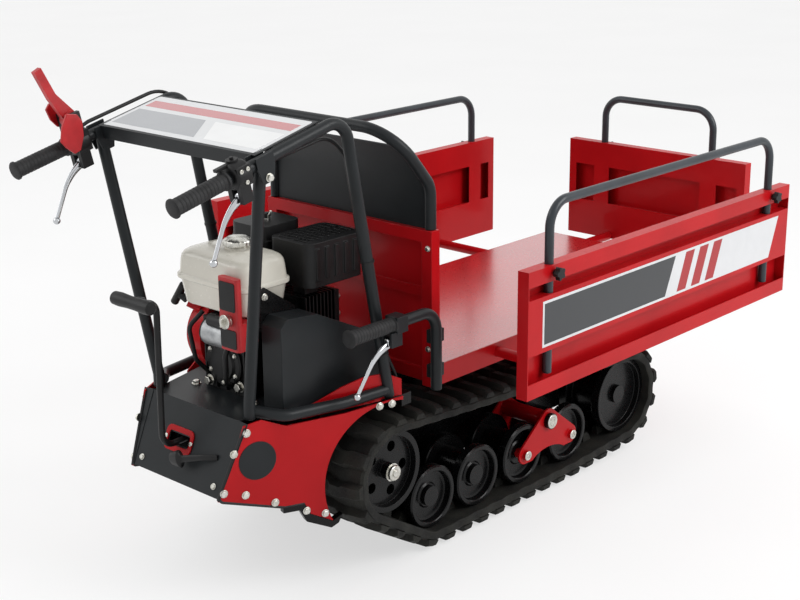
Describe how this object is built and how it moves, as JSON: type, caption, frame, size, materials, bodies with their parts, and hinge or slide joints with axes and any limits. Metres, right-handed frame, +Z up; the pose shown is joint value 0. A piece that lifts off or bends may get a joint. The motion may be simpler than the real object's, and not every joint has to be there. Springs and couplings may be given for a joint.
{
  "type": "tracked power carrier",
  "caption": "Walk-behind load carrier on two rubber tracks, with a small engine, a tipping bed, sliding drop boards with lift-up rails, and handlebar controls.",
  "frame": {"origin": "on the ground under the middle of the whole machine", "axes": "+X from the operator towards the bed's front, +Y to the operator's left, +Z up"},
  "size_m": [2.0016, 1.0546, 1.1163],
  "materials": {
    "red_paint": "gloss",
    "charcoal_paint": "satin",
    "console_print": "satin",
    "grip_rubber": "matte",
    "black_plastic": "satin",
    "cast_aluminium": "cast",
    "tank_enamel": "gloss",
    "black_steel": "gloss",
    "belt_rubber": "matte",
    "track_rubber": "matte",
    "zinc": "satin",
    "chrome": "polished",
    "lever_red": "gloss",
    "rail_paint": "satin"
  },
  "bodies": {
    "chassis": {"chassis_frame": "charcoal_paint", "operator_cover": "charcoal_paint", "side_plates": "red_paint", "handle_frame_left": "charcoal_paint", "handle_frame_right": "charcoal_paint", "console_panel": "console_print", "hand_grips": "grip_rubber", "lever_perches": "black_plastic", "gearbox": "cast_aluminium", "engine_block": "cast_aluminium", "fan_cover": "red_paint", "fuel_tank": "tank_enamel", "air_cleaner": "black_plastic", "muffler": "black_steel", "control_box": "red_paint", "carburettor": "cast_aluminium", "drive_belt": "belt_rubber", "belt_cover": "charcoal_paint", "control_cables": "belt_rubber", "frame_bolts": "zinc", "track_left": "track_rubber", "track_right": "track_rubber", "rocker_left": "red_paint", "rocker_right": "red_paint"},
    "bed": {"bed_floor": "red_paint", "headboard": "red_paint", "guard_hoop": "charcoal_paint", "dump_handle": "charcoal_paint"},
    "right_board": {"side_board_right": "red_paint", "board_knobs_right": "black_plastic"},
    "left_board": {"side_board_left": "red_paint", "board_knobs_left": "black_plastic"},
    "tail_board": {"tailgate": "red_paint", "tailgate_knobs": "black_plastic"},
    "right_rail": {"side_rail_right": "rail_paint"},
    "left_rail": {"side_rail_left": "rail_paint"},
    "tail_rail": {"tailgate_rail": "rail_paint"},
    "dump_lever": {"dump_lever": "chrome"},
    "clutch_lever": {"clutch_lever": "lever_red"},
    "steering_lever_right": {"steering_lever_right": "chrome"},
    "steering_lever_left": {"steering_lever_left": "chrome"},
    "throttle_lever": {"throttle_lever": "black_plastic"},
    "gear_lever": {"gear_lever": "grip_rubber"},
    "fuel_cap": {"fuel_cap": "chrome"},
    "starter_handle": {"starter_handle": "grip_rubber"},
    "ignition_key": {"ignition_key": "chrome"},
    "gearbox_pulley": {"gearbox_pulley": "zinc"},
    "engine_pulley": {"engine_pulley": "zinc"},
    "sprocket_right": {"sprocket_right": "black_steel"},
    "idler_right": {"idler_right": "black_steel"},
    "road_wheel_right_1": {"road_wheel_right_1": "black_steel"},
    "road_wheel_right_2": {"road_wheel_right_2": "black_steel"},
    "road_wheel_right_3": {"road_wheel_right_3": "black_steel"},
    "road_wheel_right_4": {"road_wheel_right_4": "black_steel"},
    "sprocket_left": {"sprocket_left": "black_steel"},
    "idler_left": {"idler_left": "black_steel"},
    "road_wheel_left_1": {"road_wheel_left_1": "black_steel"},
    "road_wheel_left_2": {"road_wheel_left_2": "black_steel"},
    "road_wheel_left_3": {"road_wheel_left_3": "black_steel"},
    "road_wheel_left_4": {"road_wheel_left_4": "black_steel"}
  },
  "joints": [
    {"name": "bed_tip", "type": "hinge", "parent": "chassis", "child": "bed", "pos_m": [0.45953, 0, 0.345], "axis": [0, 1, 0], "range_deg": [0, 40]},
    {"name": "right_board_slide", "type": "slide", "parent": "bed", "child": "right_board", "axis": [0, 1, 0], "range_m": [0, 0.21]},
    {"name": "left_board_slide", "type": "slide", "parent": "bed", "child": "left_board", "axis": [0, -1, 0], "range_m": [0, 0.21]},
    {"name": "tailgate_slide", "type": "slide", "parent": "bed", "child": "tail_board", "axis": [-1, 0, 0], "range_m": [0, 0.135]},
    {"name": "right_rail_lift", "type": "slide", "parent": "right_board", "child": "right_rail", "axis": [0, 0, 1], "range_m": [0, 0.12]},
    {"name": "left_rail_lift", "type": "slide", "parent": "left_board", "child": "left_rail", "axis": [0, 0, 1], "range_m": [0, 0.12]},
    {"name": "tail_rail_lift", "type": "slide", "parent": "tail_board", "child": "tail_rail", "axis": [0, 0, 1], "range_m": [0, 0.12]},
    {"name": "dump_lever_squeeze", "type": "hinge", "parent": "bed", "child": "dump_lever", "pos_m": [-0.46647, -0.285, 0.537], "axis": [0, 1, 0], "range_deg": [0, 22], "stiffness_Nm_per_rad": 0.4},
    {"name": "clutch_lever_press", "type": "hinge", "parent": "chassis", "child": "clutch_lever", "pos_m": [-0.85503, 0.25, 1.00378], "axis": [0, 1, 0], "range_deg": [-45, 0]},
    {"name": "steering_right_squeeze", "type": "hinge", "parent": "chassis", "child": "steering_lever_right", "pos_m": [-0.83001, -0.25, 0.91312], "axis": [0, 1, 0], "range_deg": [0, 22], "stiffness_Nm_per_rad": 0.4},
    {"name": "steering_left_squeeze", "type": "hinge", "parent": "chassis", "child": "steering_lever_left", "pos_m": [-0.83001, 0.25, 0.91312], "axis": [0, 1, 0], "range_deg": [0, 22], "stiffness_Nm_per_rad": 0.4},
    {"name": "throttle_turn", "type": "hinge", "parent": "chassis", "child": "throttle_lever", "pos_m": [-0.84277, -0.244, 0.97434], "axis": [-0.2351, 0, 0.972], "range_deg": [0, 50]},
    {"name": "gear_shift", "type": "hinge", "parent": "chassis", "child": "gear_lever", "pos_m": [-0.75847, 0.018, 0.335], "axis": [1, 0, 0], "range_deg": [-8, 8]},
    {"name": "fuel_cap_turn", "type": "hinge", "parent": "chassis", "child": "fuel_cap", "pos_m": [-0.64247, -0.016, 0.738], "axis": [0, 0, 1], "range_deg": [0, 90]},
    {"name": "starter_pull", "type": "slide", "parent": "chassis", "child": "starter_handle", "axis": [-0.2494, 0.798, 0.5486], "range_m": [0, 0.3]},
    {"name": "ignition_turn", "type": "hinge", "parent": "chassis", "child": "ignition_key", "pos_m": [-0.73667, -0.088, 0.608], "axis": [1, 0, 0], "range_deg": [0, 60]},
    {"name": "gearbox_pulley_spin", "type": "hinge", "parent": "chassis", "child": "gearbox_pulley", "pos_m": [-0.45547, -0.156, 0.468], "axis": [0, 1, 0], "continuous": true},
    {"name": "engine_pulley_spin", "type": "hinge", "parent": "chassis", "child": "engine_pulley", "pos_m": [-0.59047, -0.156, 0.51], "axis": [0, 1, 0], "continuous": true},
    {"name": "sprocket_right_spin", "type": "hinge", "parent": "chassis", "child": "sprocket_right", "pos_m": [-0.44047, -0.196, 0.224], "axis": [0, 1, 0], "continuous": true},
    {"name": "idler_right_spin", "type": "hinge", "parent": "chassis", "child": "idler_right", "pos_m": [0.43953, -0.196, 0.152], "axis": [0, 1, 0], "continuous": true},
    {"name": "wheel_right_1_spin", "type": "hinge", "parent": "chassis", "child": "road_wheel_right_1", "pos_m": [-0.30047, -0.196, 0.115], "axis": [0, 1, 0], "continuous": true},
    {"name": "wheel_right_2_spin", "type": "hinge", "parent": "chassis", "child": "road_wheel_right_2", "pos_m": [-0.14047, -0.196, 0.115], "axis": [0, 1, 0], "continuous": true},
    {"name": "wheel_right_3_spin", "type": "hinge", "parent": "chassis", "child": "road_wheel_right_3", "pos_m": [0.02953, -0.196, 0.115], "axis": [0, 1, 0], "continuous": true},
    {"name": "wheel_right_4_spin", "type": "hinge", "parent": "chassis", "child": "road_wheel_right_4", "pos_m": [0.21153, -0.196, 0.115], "axis": [0, 1, 0], "continuous": true},
    {"name": "sprocket_left_spin", "type": "hinge", "parent": "chassis", "child": "sprocket_left", "pos_m": [-0.44047, 0.196, 0.224], "axis": [0, 1, 0], "continuous": true},
    {"name": "idler_left_spin", "type": "hinge", "parent": "chassis", "child": "idler_left", "pos_m": [0.43953, 0.196, 0.152], "axis": [0, 1, 0], "continuous": true},
    {"name": "wheel_left_1_spin", "type": "hinge", "parent": "chassis", "child": "road_wheel_left_1", "pos_m": [-0.30047, 0.196, 0.115], "axis": [0, 1, 0], "continuous": true},
    {"name": "wheel_left_2_spin", "type": "hinge", "parent": "chassis", "child": "road_wheel_left_2", "pos_m": [-0.14047, 0.196, 0.115], "axis": [0, 1, 0], "continuous": true},
    {"name": "wheel_left_3_spin", "type": "hinge", "parent": "chassis", "child": "road_wheel_left_3", "pos_m": [0.02953, 0.196, 0.115], "axis": [0, 1, 0], "continuous": true},
    {"name": "wheel_left_4_spin", "type": "hinge", "parent": "chassis", "child": "road_wheel_left_4", "pos_m": [0.21153, 0.196, 0.115], "axis": [0, 1, 0], "continuous": true}
  ],
  "couplings": [
    {"joint": "engine_pulley_spin", "follows": "gearbox_pulley_spin", "ratio": 1.3448},
    {"joint": "idler_right_spin", "follows": "sprocket_right_spin", "ratio": 0.95},
    {"joint": "wheel_right_1_spin", "follows": "sprocket_right_spin", "ratio": 1.2667},
    {"joint": "wheel_right_2_spin", "follows": "sprocket_right_spin", "ratio": 1.2667},
    {"joint": "wheel_right_3_spin", "follows": "sprocket_right_spin", "ratio": 1.2667},
    {"joint": "wheel_right_4_spin", "follows": "sprocket_right_spin", "ratio": 1.2667},
    {"joint": "idler_left_spin", "follows": "sprocket_left_spin", "ratio": 0.95},
    {"joint": "wheel_left_1_spin", "follows": "sprocket_left_spin", "ratio": 1.2667},
    {"joint": "wheel_left_2_spin", "follows": "sprocket_left_spin", "ratio": 1.2667},
    {"joint": "wheel_left_3_spin", "follows": "sprocket_left_spin", "ratio": 1.2667},
    {"joint": "wheel_left_4_spin", "follows": "sprocket_left_spin", "ratio": 1.2667}
  ]
}
